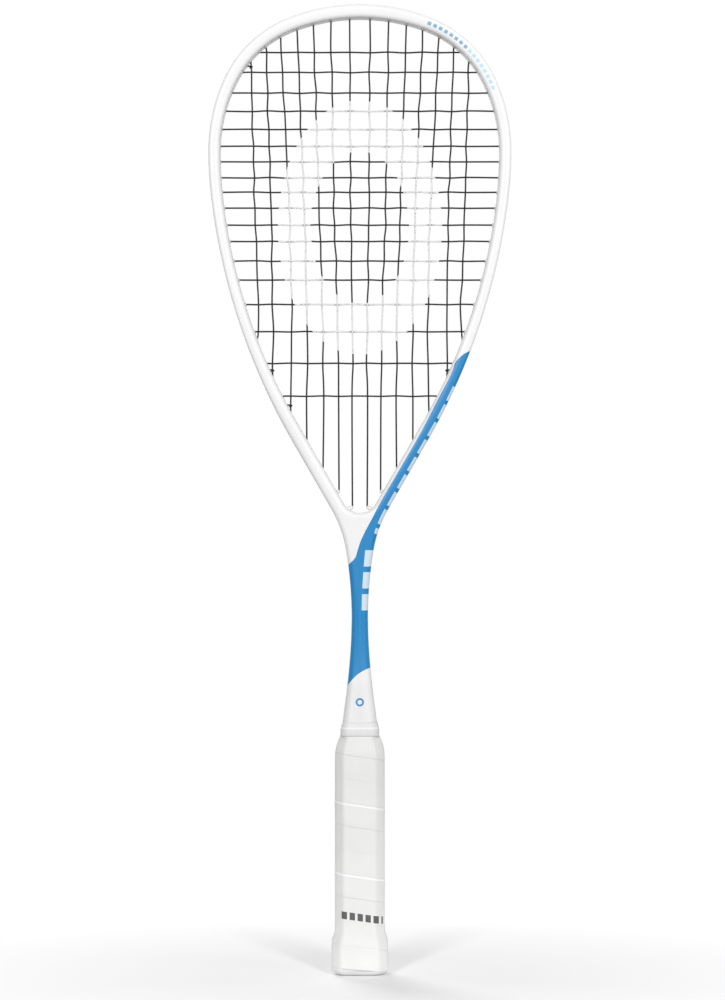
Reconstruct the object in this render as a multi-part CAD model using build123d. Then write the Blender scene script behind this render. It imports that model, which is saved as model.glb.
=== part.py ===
from build123d import *
import os
from math import ceil, copysign, cos, pi, radians, sin, sqrt

os.makedirs("parts", exist_ok=True)

# Squash racket, head up. +Z runs from the butt to the crown, the strings lie in the
# plane Y = 0 and the front faces -Y. The origin is the middle of the butt's end face.

# Rim: tangent arcs from the crown down the +X side, as (radius, turn in degrees).
# A turn of 0 is a straight of that length and a negative turn is a hollow curve.
CROWN_Z = 685.0
RIM = [
    (137.7, 21.6),
    (83.4, 43.9),
    (122.9, 24.5),
    (266.6, 6.6),
    (453.8, 23.3),
    (55.7, 0),
    (85.7, -20.5),
    (298.1, -9.4),
]
WINDOW_CROWN_Z = 675.7
WINDOW = [
    (133.9, 20.0),
    (74.1, 42.0),
    (109.1, 28.0),
    (288.1, 6.0),
    (405.3, 23.9),
]
CROTCH_RADIUS = 13.0
BEAM = 20.0
EDGE_ROUND = 3.4
EDGE_BEVEL = 0.65 * EDGE_ROUND

# Walls and string groove, measured inwards from the outside of the rim.
GUARD_RECESS = 1.0
GUARD_HALF_WIDTH = 7.6
GROOVE_DEPTH = 2.4
GROOVE_HALF_WIDTH = 3.2
GUARD_END = 144.0
GROOVE_END = 458.0

# Groove, strips and head guard are thin and full of holes, so they turn from flat to
# flat: the most that one flat turns, in degrees, and its greatest length.
FLAT_TURN = 8.0
FLAT_LENGTH = 15.0

# Throat cone as (height, half width, half depth, corner radius), then the hidden tang.
CONE = [
    (238.0, 6.1, 10.05, 3.5),
    (225.0, 6.85, 10.25, 3.6),
    (212.0, 8.0, 10.65, 3.9),
    (199.0, 9.45, 11.2, 4.3),
    (186.0, 11.15, 11.95, 4.9),
    (172.0, 12.7, 12.8, 5.5),
]
SHAFT_BORE_TOP = 300.0
SHAFT_WALL = 1.5
TANG_HALF = (9.6, 8.8)
TANG_BOTTOM = 24.0

# Strings. Heights of the crosses, and half distances of the mains from the middle.
STRING_RADIUS = 0.6
CROSS_Z = [
    651.9, 637.8, 623.2, 610.3, 597.4, 585.5, 574.5, 563.2, 552.9,
    541.7, 529.7, 518.1, 504.2, 490.8, 473.5, 454.2, 431.8, 408.6,
]
MAIN_TOP = [7.2, 20.4, 32.9, 44.4, 56.0, 66.4, 77.1]
MAIN_MIDDLE = [6.45, 18.2, 28.6, 39.1, 49.6, 62.6, 74.2]
MAIN_LOW = [5.2, 15.5, 26.0, 37.2, 48.0, 61.6, 71.1]
MAIN_BOTTOM = [4.7, 14.5, 25.8, 37.2, 48.4, 61.1, 70.6]
MIDDLE_Z = 536.0
LOW_Z = 460.0
WEAVE = 1.4
LOOP_OFFSET = 1.6

# Grommets. The lower mains have longer barrels, listed from the middle outwards.
BARREL_RADIUS = 1.75
BORE_RADIUS = 1.1
HOLE_RADIUS = 1.85
BARREL_STAND = 0.7
LOWER_BARREL_TIP = [13.3, 10.4, 9.8, 9.5, 9.1, 9.0, 9.0]
TIE_OFF_MAIN_Z = 427.2
TIE_OFF_CROSS_Z = (642.2, 402.3)
STRIP_THICKNESS = 0.75
HITCH_RADIUS = 1.45
HITCH_PITCH = 1.35

# Handle: octagons as (half width, half depth), bevels cut at 45 degrees.
CORE = (16.4, 13.6)
CORE_TOP = 153.0
SHOULDER = (13.2, 12.6)
SHOULDER_Z = 167.0
SHOULDER_CURVE = 2.1
SHOULDER_BEND_Z = 161.5
NECK = (12.2, 12.0)
NECK_Z = 172.0
FLARE_Z = (22.0, 31.0)
FLARE = 1.8
CORE_BENDS = (FLARE_Z[1], CORE_TOP, SHOULDER_BEND_Z)
BEVEL = 5.4

# Butt cap as (height, half width, half depth) rings round its lower edge.
CAP_FOOT = [(0.0, 13.7, 11.0), (0.8, 16.9, 14.2), (1.8, 18.6, 15.9), (3.4, 19.7, 17.0)]
CAP_WALL = 1.4
CAP_FLOOR = 3.9

# Grip tape: wound down the handle, the upper edge of each turn lapped over the one above.
TAPE_PITCH = 16.7
TAPE_SEAM_Z = 118.1
TAPE_TOP = 1.8
TAPE_BUTT = 1.1

# Collar and the tape band under it as (height, half width, half depth, corner radius).
COLLAR = [
    (167.1, 13.7, 13.8, 6.2),
    (167.6, 14.0, 14.1, 6.5),
    (173.0, 13.95, 14.1, 6.5),
    (176.4, 13.4, 13.7, 6.2),
    (178.8, 12.7, 13.2, 5.8),
    (179.6, 12.3, 12.8, 5.4),
]
BAND = [(167.2, 12.9, 12.9, 5.4), (174.5, 12.9, 13.1, 5.6)]
STAPLE_SPAN = 9.0
STAPLE_LEG = 6.0
STAPLE_WIRE = 0.7
STAPLE_Z = 12.0


def rim_state(chain, crown_z, distance):
    """Point and heading on a chain of tangent arcs, a distance along it from the crown."""
    x, z, heading = 0.0, crown_z, 0.0
    for size, turn in chain:
        length = size * radians(abs(turn)) if turn else size
        step = min(distance, length)
        if turn:
            signed = copysign(size, turn)
            turned = heading + step / signed
            x += signed * (sin(turned) - sin(heading))
            z += signed * (cos(turned) - cos(heading))
            heading = turned
        else:
            x += step * cos(heading)
            z -= step * sin(heading)
        distance -= step
        if distance <= 0:
            break
    return x, z, heading


def joints(chain):
    """Distances from the crown at which each piece of a chain ends."""
    ends, total = [], 0.0
    for size, turn in chain:
        total += size * radians(abs(turn)) if turn else size
        ends.append(total)
    return ends


def inset_point(chain, crown_z, distance, inset, y=0.0, side=1):
    """Point beside a chain, moved inwards square to it, on the +X or -X side."""
    x, z, heading = rim_state(chain, crown_z, distance)
    return Vector(side * (x - inset * sin(heading)), y, z - inset * cos(heading))


def rim_point(distance, inset, y=0.0, side=1):
    return inset_point(RIM, CROWN_Z, distance, inset, y, side)


def chain_edges(chain, crown_z, inset, start, end):
    """Arcs and lines beside a chain between two distances from the crown."""
    stops = [start] + [s for s in joints(chain) if start < s < end] + [end]
    edges = []
    for a, b in zip(stops, stops[1:]):
        ends = [inset_point(chain, crown_z, s, inset) for s in (a, (a + b) / 2, b)]
        if is_arc(chain, a, b):
            edges.append(Edge.make_three_point_arc(*ends))
        else:
            edges.append(Edge.make_line(ends[0], ends[2]))
    return edges


def flat_stops(chain):
    """Distances from the crown at which thin pieces beside a chain turn from flat to flat."""
    stops = [0.0]
    for size, turn in chain:
        length = size * radians(abs(turn)) if turn else size
        count = ceil(max(abs(turn) / FLAT_TURN, length / FLAT_LENGTH)) if turn else 1
        stops += [stops[-1] + length * (i + 1) / count for i in range(count)]
    return stops


def flat_edges(inset, start, end):
    """Short straight edges beside the rim, which keep the grooved and bored pieces light."""
    stops = [start] + [s for s in flat_stops(RIM) if start + 0.01 < s < end - 0.01] + [end]
    points = [rim_point(s, inset) for s in stops]
    return [Edge.make_line(a, b) for a, b in zip(points, points[1:])]


def is_arc(chain, start, end):
    middle = (start + end) / 2
    index = [middle < s for s in joints(chain)].index(True)
    return chain[index][1] != 0


def both_sides(edges):
    return edges + [edge.mirror(Plane.YZ) for edge in edges]


def slab(edges, half_depth):
    """Prism along Y, centred on the string plane, from edges drawn in it."""
    face = Face(Wire(edges))
    return extrude(face, amount=half_depth, dir=(0, 1, 0), both=True)


def ring(outer, inner, start, end, half_depth):
    """Curved bar between two insets of the rim on the +X side."""
    out = flat_edges(outer, start, end)
    back = flat_edges(inner, start, end)
    caps = [Edge.make_line(rim_point(s, outer), rim_point(s, inner)) for s in (start, end)]
    return slab(out + back + caps, half_depth)


def crown_ring(outer, inner, end, half_depth):
    """Curved bar over the crown, reaching the same distance down both sides."""
    edges = flat_edges(outer, 0, end) + flat_edges(inner, 0, end)
    cap = Edge.make_line(rim_point(end, outer), rim_point(end, inner))
    return slab(both_sides(edges + [cap]), half_depth)


def window_edges(outset):
    """Closed outline of the hoop's opening, ending in the round crotch."""
    length = joints(WINDOW)[-1]
    radius = CROTCH_RADIUS + outset
    x, z, heading = rim_state(WINDOW, WINDOW_CROWN_Z, length)
    straight = (x - CROTCH_RADIUS * sin(heading)) / abs(cos(heading))
    chain = WINDOW + [(straight, 0)]
    edges = chain_edges(chain, WINDOW_CROWN_Z, -outset, 0, length + straight)
    crotch = inset_point(chain, WINDOW_CROWN_Z, length + straight, CROTCH_RADIUS)
    start = inset_point(chain, WINDOW_CROWN_Z, length + straight, -outset)
    turn = (pi - heading) / 2
    middle = crotch + Vector(sin(heading + turn), 0, cos(heading + turn)) * radius
    edges.append(Edge.make_three_point_arc(start, middle, crotch - Vector(0, 0, radius)))
    return both_sides(edges)


def bar(start, end, radius):
    """Square bar between two points of the string plane, one flat towards the front."""
    plane = Plane(origin=start, x_dir=(0, 1, 0), z_dir=(end - start).normalized())
    face = plane * RegularPolygon(radius, 4, rotation=45)
    return extrude(face, amount=(end - start).length)


def window_depth(distance):
    """Depth of the rim from its outside to the window, thicker at the crown."""
    return 9.3 - min(max((distance - 70.0) / 60.0, 0.0), 1.0)


def seek(value, low, high):
    """Zero of a rising function by halving."""
    for _ in range(40):
        middle = (low + high) / 2
        if value(middle) < 0:
            low = middle
        else:
            high = middle
    return (low + high) / 2


class Grommet:
    """One string hole: where it is on the rim, and where its barrel ends inside the hoop."""

    def __init__(self, distance, tip, side):
        self.distance = distance
        self.tip = tip
        self.side = side

    def at(self, inset, y=0.0):
        return rim_point(self.distance, inset, y, self.side)

    def mouth(self):
        return self.at(self.tip + 0.7)


def tip_depth(distance):
    return window_depth(distance) + BARREL_STAND


def grommet_at_height(z, side):
    """Grommet whose barrel opens at a height on the hoop."""
    distance = seek(lambda s: z - rim_point(s, tip_depth(s)).Z, 40.0, GROOVE_END)
    return Grommet(distance, tip_depth(distance), side)


def grommet_at_crown(x, side):
    """Grommet of a main string's upper end."""
    distance = seek(lambda s: rim_point(s, tip_depth(s)).X - x, 0.0, 150.0)
    return Grommet(distance, tip_depth(distance), side)


def grommet_at_throat(x, tip, side):
    """Grommet of a main string's lower end, on the arm of the throat."""
    distance = seek(lambda s: x - rim_point(s, tip).X, 220.0, GROOVE_END)
    return Grommet(distance, tip, side)


MAIN_ORDER = [(k, -1) for k in range(6, -1, -1)] + [(k, 1) for k in range(7)]
UPPER = [grommet_at_crown(MAIN_TOP[k], side) for k, side in MAIN_ORDER]
LOWER = [grommet_at_throat(MAIN_BOTTOM[k], LOWER_BARREL_TIP[k], side) for k, side in MAIN_ORDER]
CROSS_LEFT = [grommet_at_height(z, -1) for z in CROSS_Z]
CROSS_RIGHT = [grommet_at_height(z, 1) for z in CROSS_Z]
MAIN_TIES = [grommet_at_height(TIE_OFF_MAIN_Z, side) for side in (-1, 1)]
CROSS_TIES = [grommet_at_height(z, -1) for z in TIE_OFF_CROSS_Z]
GROMMETS = UPPER + LOWER + CROSS_LEFT + CROSS_RIGHT + MAIN_TIES + CROSS_TIES


def floor_inset(distance):
    """Depth of the groove's floor below the outside of the rim or of the head guard."""
    return GROOVE_DEPTH + (GUARD_RECESS if distance < GUARD_END else 0.0)


def loop_inset(distance):
    """Depth at which the outside loops run, already shallow where they leave the guard."""
    return floor_inset(distance + 6.0) - STRIP_THICKNESS - 0.25 - STRING_RADIUS


def main_path(index):
    """Points of one main string inside the hoop, from its lower to its upper end."""
    k, side = MAIN_ORDER[index]
    middle = Vector(side * MAIN_MIDDLE[k], 0, MIDDLE_Z)
    low = Vector(side * MAIN_LOW[k], 0, LOW_Z)
    return [LOWER[index].mouth(), low, middle, UPPER[index].mouth()]


def main_x(index, z):
    """Sideways place of a main string at a height."""
    points = main_path(index)
    for a, b in zip(points, points[1:]):
        if a.Z <= z <= b.Z:
            return a.X + (b.X - a.X) * (z - a.Z) / (b.Z - a.Z)
    return None


def cross_path(row):
    """Points of one cross string inside the hoop, woven over and under the mains."""
    z = CROSS_Z[row]
    points = [CROSS_LEFT[row].mouth()]
    for index in range(len(MAIN_ORDER)):
        x = main_x(index, z)
        if x is not None:
            y = WEAVE if (index + row) % 2 else -WEAVE
            points.append(Vector(x, y, z))
    return points + [CROSS_RIGHT[row].mouth()]


def loop_path(start, end, y):
    """Turn of string outside the frame from one grommet to the next along the groove."""
    a, b = start.distance, end.distance
    if start.side != end.side:
        b = -b
    steps = max(1, round(abs(b - a) / 12.0))
    lead = copysign(2.2, b - a)
    stops = [a + lead + (b - a - 2 * lead) * i / steps for i in range(steps + 1)]
    points = [rim_point(abs(s), loop_inset(abs(s)), y, start.side * copysign(1, s)) for s in stops]
    return [start.at(loop_inset(a))] + points + [end.at(loop_inset(abs(b)))]


def hitch(grommet, index):
    """End of a string, wound once and a half round a main beside its tie-off hole."""
    base = grommet.mouth()
    points = [base]
    for i in range(10):
        angle = pi * (i + 1) / 3
        z = base.Z - HITCH_PITCH * i / 6
        x = main_x(index, z) + grommet.side * HITCH_RADIUS * cos(angle)
        points.append(Vector(x, -HITCH_RADIUS * sin(angle), z))
    return points


def cord(points, radius):
    """Four-sided cord along a path, mitred at every bend."""
    headings = [(b - a).normalized() for a, b in zip(points, points[1:])]
    side = headings[0].cross(Vector(0.31, 0.17, 0.93)).normalized()
    up = headings[0].cross(side)
    angles = [pi * i / 2 for i in range(4)]
    rings = [[points[0] + side * (radius * cos(a)) + up * (radius * sin(a)) for a in angles]]
    for i, heading in enumerate(headings):
        after = headings[min(i + 1, len(headings) - 1)]
        normal = (heading + after).normalized()
        target = points[i + 1]
        last = rings[-1]
        rings.append([p + heading * ((target - p).dot(normal) / heading.dot(normal)) for p in last])
    faces = [Face(Wire.make_polygon(rings[0])), Face(Wire.make_polygon(rings[-1]))]
    for a, b in zip(rings, rings[1:]):
        for i in range(4):
            j = (i + 1) % 4
            faces.append(Face(Wire.make_polygon([a[i], a[j], b[j], b[i]])))
    return Solid(Shell(faces))


def main_string():
    """One cord through all fourteen mains, turning round in the groove between them."""
    tie = MAIN_TIES[0]
    path = hitch(tie, 1)[::-1] + loop_path(tie, LOWER[0], -LOOP_OFFSET)
    for index in range(len(MAIN_ORDER)):
        last = index == len(MAIN_ORDER) - 1
        if index % 2 == 0:
            path += main_path(index)
            path += loop_path(UPPER[index], UPPER[index + 1], -LOOP_OFFSET)
        else:
            path += main_path(index)[::-1]
            target = MAIN_TIES[1] if last else LOWER[index + 1]
            path += loop_path(LOWER[index], target, -LOOP_OFFSET)
    return cord(path + hitch(MAIN_TIES[1], 12), STRING_RADIUS)


def cross_string():
    """One cord through all eighteen crosses, from the crown down to the throat."""
    path = hitch(CROSS_TIES[0], 0)[::-1] + loop_path(CROSS_TIES[0], CROSS_LEFT[0], LOOP_OFFSET)
    for row in range(len(CROSS_Z)):
        if row % 2 == 0:
            path += cross_path(row)
            path += loop_path(CROSS_RIGHT[row], CROSS_RIGHT[row + 1], LOOP_OFFSET)
        else:
            last = row == len(CROSS_Z) - 1
            path += cross_path(row)[::-1]
            target = CROSS_TIES[1] if last else CROSS_LEFT[row + 1]
            path += loop_path(CROSS_LEFT[row], target, LOOP_OFFSET)
    return cord(path + hitch(CROSS_TIES[1], 2), STRING_RADIUS)


def round_ring(z, half_x, half_y, corner):
    """Corners of a level rectangle whose corners are cut round in three flats."""
    cut, nick = 0.65 * corner, 0.27 * corner
    near, far = 0.707 * nick, cut - 0.707 * nick
    steps = [(0.0, cut + nick), (near, far), (far, near), (cut + nick, 0.0)]
    points = []
    for sign_x, sign_y in ((1, -1), (1, 1), (-1, 1), (-1, -1)):
        turn = steps if sign_x * sign_y > 0 else steps[::-1]
        points += [Vector(sign_x * (half_x - a), sign_y * (half_y - b), z) for a, b in turn]
    return points


def flats(a, b, c, d):
    """Face through four points, or two triangles where they don't lie in a plane."""
    if abs((b - a).cross(c - a).dot(d - a)) < 1e-6:
        return [Face(Wire.make_polygon([a, b, c, d]))]
    return [Face(Wire.make_polygon([a, b, c])), Face(Wire.make_polygon([a, c, d]))]


def polyhedron(rings):
    """Solid with flat faces through rings of points, capped at both ends."""
    faces = [Face(Wire.make_polygon(ring)) for ring in (rings[0], rings[-1])]
    count = len(rings[0])
    for a, b in zip(rings, rings[1:]):
        for i in range(count):
            j = (i + 1) % count
            faces += flats(a[i], a[j], b[j], b[i])
    return Solid(Shell(faces))


def upright_box(half_x, half_y, bottom, top):
    return Pos(0, 0, bottom) * Box(
        2 * half_x, 2 * half_y, top - bottom, align=(Align.CENTER, Align.CENTER, Align.MIN)
    )


def hoop_body():
    """Outside of the hoop, throat and upper shaft, with its long edges bevelled."""
    length = joints(RIM)[-1]
    bottom = rim_point(length, 0)
    edges = both_sides(chain_edges(RIM, CROWN_Z, 0, 0, length))
    edges.append(Edge.make_line(bottom, Vector(-bottom.X, 0, bottom.Z)))
    body = slab(edges, BEAM / 2) - slab(window_edges(0), BEAM)
    long_edges = [e for e in body.edges() if abs(e.center().Y) > BEAM / 2 - 0.01]
    long_edges = [e for e in long_edges if e.center().Z > bottom.Z + 1]
    return chamfer(long_edges, EDGE_BEVEL), bottom


def cone_body(bottom):
    """Shaft swelling into the handle, down to the end that the collar covers."""
    rings = [round_ring(bottom.Z, bottom.X, BEAM / 2, EDGE_ROUND)]
    return polyhedron(rings + [round_ring(*values) for values in CONE])


def shaft_bore(bottom):
    """Hollow from the open end of the tang up the cone and the shaft."""
    rings = [round_ring(SHAFT_BORE_TOP, bottom.X - SHAFT_WALL, BEAM / 2 - SHAFT_WALL, 2.2)]
    rings += [round_ring(bottom.Z, bottom.X - SHAFT_WALL, BEAM / 2 - SHAFT_WALL, 2.2)]
    rings += [round_ring(z, x - SHAFT_WALL, y - SHAFT_WALL, 2.2) for z, x, y, _ in CONE[:-2]]
    x, y = TANG_HALF[0] - SHAFT_WALL, TANG_HALF[1] - SHAFT_WALL
    return polyhedron(rings + [round_ring(z, x, y, 2.2) for z in (CONE[-1][0], TANG_BOTTOM - 1.0)])


def frame():
    """One-piece frame, grooved round the outside and drilled for every grommet."""
    body, bottom = hoop_body()
    body = body + cone_body(bottom) + upright_box(*TANG_HALF, TANG_BOTTOM, CONE[-1][0])
    body = body - shaft_bore(bottom)
    body = body - crown_ring(-2.0, GUARD_RECESS, GUARD_END, GUARD_HALF_WIDTH)
    body = body - crown_ring(0.5, GROOVE_DEPTH + GUARD_RECESS, GUARD_END, GROOVE_HALF_WIDTH)
    groove = ring(-2.0, GROOVE_DEPTH, GUARD_END - 0.5, GROOVE_END, GROOVE_HALF_WIDTH)
    body = body - groove - groove.mirror(Plane.YZ)
    holes = [bar(g.at(0.5), g.at(g.tip + 2.0), HOLE_RADIUS) for g in GROMMETS]
    return body - holes


def barrels(grommets):
    starts = [g.at(floor_inset(g.distance) - 0.5) for g in grommets]
    return [bar(start, g.at(g.tip), BARREL_RADIUS) for start, g in zip(starts, grommets)]


def bores(grommets):
    return [bar(g.at(-1.0), g.at(g.tip + 1.0), BORE_RADIUS) for g in grommets]


def head_guard():
    """Bumper over the crown with a string channel and its own row of grommet barrels."""
    end = GUARD_END - 0.3
    half = GUARD_HALF_WIDTH - 0.1
    floor = GROOVE_DEPTH + GUARD_RECESS - 0.05
    body = crown_ring(0.0, GUARD_RECESS - 0.05, end, half)
    body = body + crown_ring(0.5, floor, end, GROOVE_HALF_WIDTH - 0.05)
    body = body - crown_ring(-1.0, floor - STRIP_THICKNESS, end + 2.0, GROOVE_HALF_WIDTH - 0.75)
    mine = [g for g in GROMMETS if g.distance < GUARD_END]
    return body + barrels(mine) - bores(mine)


def grommet_strip(side):
    """Thin strip in the groove down one side, carrying a barrel for every string hole."""
    floor = GROOVE_DEPTH - 0.05
    ends = GUARD_END + 0.2, GROOVE_END - 0.3
    strip = ring(floor - STRIP_THICKNESS, floor, *ends, GROOVE_HALF_WIDTH - 0.1)
    if side < 0:
        strip = strip.mirror(Plane.YZ)
    mine = [g for g in GROMMETS if g.distance > GUARD_END and g.side == side]
    return strip + barrels(mine) - bores(mine)


def octagon(z, half_x, half_y, grow=0.0):
    """Corners of the handle's section, optionally moved out square to every facet."""
    bevel = BEVEL + grow * (2 - sqrt(2))
    x, y = half_x + grow, half_y + grow
    flat_x, flat_y = x - bevel, y - bevel
    corners = [
        (flat_x, -y), (x, -flat_y), (x, flat_y), (flat_x, y),
        (-flat_x, y), (-x, flat_y), (-x, -flat_y), (-flat_x, -y),
    ]
    return [Vector(a, b, z) for a, b in corners]


def core_size(z):
    """Half width and half depth of the handle under the tape at a height."""
    x, y = CORE
    if z < FLARE_Z[1]:
        grow = FLARE * min((FLARE_Z[1] - z) / (FLARE_Z[1] - FLARE_Z[0]), 1.0)
        return x + grow, y + grow
    if z > CORE_TOP:
        part = min((z - CORE_TOP) / (SHOULDER_Z - CORE_TOP), 1.0) ** SHOULDER_CURVE
        return x + (SHOULDER[0] - x) * part, y + (SHOULDER[1] - y) * part
    return x, y


def core_ring(z, grow=0.0):
    return octagon(z, *core_size(z), grow)


def core_levels():
    """Rings of the foam handle from inside the butt cap up to the neck under the collar."""
    levels = [core_ring(z, -CAP_WALL - 0.1) for z in (CAP_FLOOR + 0.1, FLARE_Z[0] + 0.1)]
    levels += [core_ring(z) for z in (FLARE_Z[0] + 0.1, *CORE_BENDS, SHOULDER_Z)]
    return levels + [octagon(SHOULDER_Z, *NECK), octagon(NECK_Z, *NECK)]


def handle_core():
    """Foam handle moulded round the tang, eight-sided, with a flare at the butt."""
    pocket = upright_box(TANG_HALF[0] + 0.1, TANG_HALF[1] + 0.1, TANG_BOTTOM - 1.0, NECK_Z + 5.0)
    return polyhedron(core_levels()) - pocket


def butt_cap():
    """Moulded cup over the butt, rounded at its foot, with a plain flat end."""
    levels = [octagon(*values) for values in CAP_FOOT]
    levels += [core_ring(z) for z in (CAP_FOOT[-1][0], FLARE_Z[0])]
    levels += [core_ring(z, -CAP_WALL) for z in (FLARE_Z[0], CAP_FLOOR)]
    return polyhedron(levels)


def tape_section(corner, z):
    """Cross-section of the tape at one corner of the handle, cut off level at both ends."""
    top = z + TAPE_PITCH - 0.05
    low, high = max(z, CAP_FOOT[-1][0]), min(top, SHOULDER_Z)
    if high - low < 1.0:
        return None
    grow = [TAPE_BUTT + (TAPE_TOP - TAPE_BUTT) * (h - z) / TAPE_PITCH for h in (high, low)]
    points = [(low, -1.5), (high, -1.5), (high, grow[0]), (low, grow[1])]
    return [core_ring(height, reach)[corner] for height, reach in points]


def tape_ribbon():
    """Long flat-sided helix down the handle, tapering out where it is cut level."""
    ring = core_ring(CORE_TOP, TAPE_TOP)
    sides = [(ring[(i + 1) % 8] - ring[i]).length for i in range(8)]
    z = TAPE_SEAM_Z + 4 * TAPE_PITCH - TAPE_PITCH * sides[7] / sum(sides) / 2
    sections, corner = [], 0
    while z > -TAPE_PITCH:
        sections.append(tape_section(corner, z))
        z -= TAPE_PITCH * sides[corner] / sum(sides)
        corner = (corner + 1) % 8
    sections = [points for points in sections if points]
    faces = [Face(Wire.make_polygon(points)) for points in (sections[0], sections[-1])]
    for a, b in zip(sections, sections[1:]):
        for k, n in ((0, 1), (1, 2), (3, 2), (0, 3)):
            faces.append(Face(Wire.make_polygon([a[k], a[n], b[n]])))
            faces.append(Face(Wire.make_polygon([a[k], b[n], b[k]])))
    return Solid(Shell(faces))


def grip_tape(slot):
    """Grip wound round the eight sides in one piece, its upper edges standing proud."""
    under = polyhedron([core_ring(z) for z in (3.0, FLARE_Z[0], *CORE_BENDS, SHOULDER_Z + 0.5)])
    return tape_ribbon() - under - slot


def staple(wire):
    """Wire staple pinning the end of the tape through the back of the butt."""
    y = core_size(STAPLE_Z)[1] + TAPE_TOP + 0.2
    bridge = Pos(0, y, STAPLE_Z) * Box(STAPLE_SPAN, wire, wire)
    leg = Pos(STAPLE_SPAN / 2, y - STAPLE_LEG / 2, STAPLE_Z) * Box(wire, STAPLE_LEG, wire)
    return bridge + leg + leg.mirror(Plane.YZ)


def finishing_tape(cone):
    """Thin band closing the top of the grip under the collar, from the neck to the cone."""
    rings = [round_ring(*values) for values in BAND]
    return polyhedron(rings) - cone - polyhedron(core_levels())


def collar(cone, band):
    """Soft ring stretched over the joint of grip and cone."""
    body = polyhedron([round_ring(*values) for values in COLLAR])
    return body - cone - band - polyhedron(core_levels())


def build():
    """All the pieces by name, each cut to fit the ones it is fixed round."""
    cone = cone_body(rim_point(joints(RIM)[-1], 0))
    slot = staple(STAPLE_WIRE + 0.1)
    core, cap = handle_core(), butt_cap()
    band = finishing_tape(cone)
    return {
        "frame": frame(),
        "head_guard": head_guard(),
        "grommet_strip_left": grommet_strip(-1),
        "grommet_strip_right": grommet_strip(1),
        "main_string": main_string(),
        "cross_string": cross_string(),
        "handle_core": core - slot,
        "butt_cap": cap - slot,
        "grip_tape": grip_tape(slot),
        "grip_staple": staple(STAPLE_WIRE),
        "finishing_tape": band,
        "collar": collar(cone, band),
    }


for name, shape in build().items():
    export_step(shape, f"parts/{name}.step")
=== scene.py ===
from math import cos, exp, pi, radians, sin, sqrt, tan

import bmesh
import bpy
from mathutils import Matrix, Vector

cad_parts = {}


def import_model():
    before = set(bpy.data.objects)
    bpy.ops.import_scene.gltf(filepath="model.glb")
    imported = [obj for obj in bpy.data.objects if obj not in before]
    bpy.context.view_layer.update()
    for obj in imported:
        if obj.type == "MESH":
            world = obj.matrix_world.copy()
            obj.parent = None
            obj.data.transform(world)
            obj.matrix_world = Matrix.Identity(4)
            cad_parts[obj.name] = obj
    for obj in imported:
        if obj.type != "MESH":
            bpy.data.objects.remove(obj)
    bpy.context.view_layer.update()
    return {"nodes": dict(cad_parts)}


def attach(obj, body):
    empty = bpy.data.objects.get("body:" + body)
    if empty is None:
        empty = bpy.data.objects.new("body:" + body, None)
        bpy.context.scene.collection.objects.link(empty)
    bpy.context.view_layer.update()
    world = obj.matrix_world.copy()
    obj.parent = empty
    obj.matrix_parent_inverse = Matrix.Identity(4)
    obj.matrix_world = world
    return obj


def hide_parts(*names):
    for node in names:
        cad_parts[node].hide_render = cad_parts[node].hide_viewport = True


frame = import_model()

# Shapes are in millimetres and are scaled as the meshes are made. Paints are in metres.
MM = 0.001

# Rim and window as tangent arcs from the crown, each (radius, turn in degrees).
# A turn of 0 is a straight of that length and a negative turn is a hollow curve.
CROWN_Z = 685.0
RIM = [
    (137.7, 21.6), (83.4, 43.9), (122.9, 24.5), (266.6, 6.6),
    (453.8, 23.3), (55.7, 0), (85.7, -20.5), (298.1, -9.4),
]
WINDOW_CROWN_Z = 675.7
WINDOW = [(133.9, 20.0), (74.1, 42.0), (109.1, 28.0), (288.1, 6.0), (405.3, 23.9)]
CROTCH_RADIUS = 13.0
BEAM = 20.0

# Radii of the edges. The outer one grows from the hoop's to the arm's between two distances.
EDGE_ROUND = 3.2
HOOP_EDGE = (1.9, 300.0)
ARM_EDGE = (3.3, 385.0)
SHAFT_EDGE = 3.8
FACE_CROWN = 0.15
SHAFT_CROWN = 0.5
FACE_STEPS = 5
INNER_STEPS = 8
OUTER_STEPS = 6
OUTER_START = 15.0

# Recess of the head guard and string groove, measured inwards from the outside of the rim.
GUARD_RECESS = 1.0
GUARD_HALF_WIDTH = 7.6
GUARD_END = 144.0
GROOVE_DEPTH = 2.4
GROOVE_HALF_WIDTH = 3.2
GROOVE_END = 458.0

# Cone and tang as (height, half width, half depth, corner radius).
CONE = [
    (251.01, 5.8, 10.0, 3.8), (238.0, 6.1, 10.05, 3.8), (225.0, 6.85, 10.25, 3.9),
    (212.0, 8.0, 10.65, 4.2), (199.0, 9.45, 11.2, 4.6), (186.0, 11.15, 11.95, 5.1),
    (172.0, 12.7, 12.8, 5.6),
]
CONE_STEP = 3.04
CONE_RINGS = 26
TANG_HALF = (9.6, 8.8)
TANG_CORNER = 2.0
TANG_BOTTOM = 24.0

# String bed: heights of the crosses, and the mains' distances from the middle at four heights.
STRING_RADIUS = 0.6
CORD_STEP = 2.2
CROSS_Z = [
    651.9, 637.8, 623.2, 610.3, 597.4, 585.5, 574.5, 563.2, 552.9,
    541.7, 529.7, 518.1, 504.2, 490.8, 473.5, 454.2, 431.8, 408.6,
]
MAIN_TOP = [7.2, 20.4, 32.9, 44.4, 56.0, 66.4, 77.1]
MAIN_MIDDLE = [6.45, 18.2, 28.6, 39.1, 49.6, 62.6, 74.2]
MAIN_LOW = [5.2, 15.5, 26.0, 37.2, 48.0, 61.6, 71.1]
MAIN_BOTTOM = [5.0, 14.5, 25.8, 37.3, 48.7, 61.4, 72.2]
MIDDLE_Z = 536.0
LOW_Z = 460.0
CROSS_WEAVE = 0.72
MAIN_WEAVE = 0.5
LOOP_OFFSET = 1.6
LOOP_LEAD = 2.4
LOOP_DIP = 1.1
LOOP_STEP = 7.0
TUCK = 2.0
FIRST_BEND = 1.6

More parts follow.
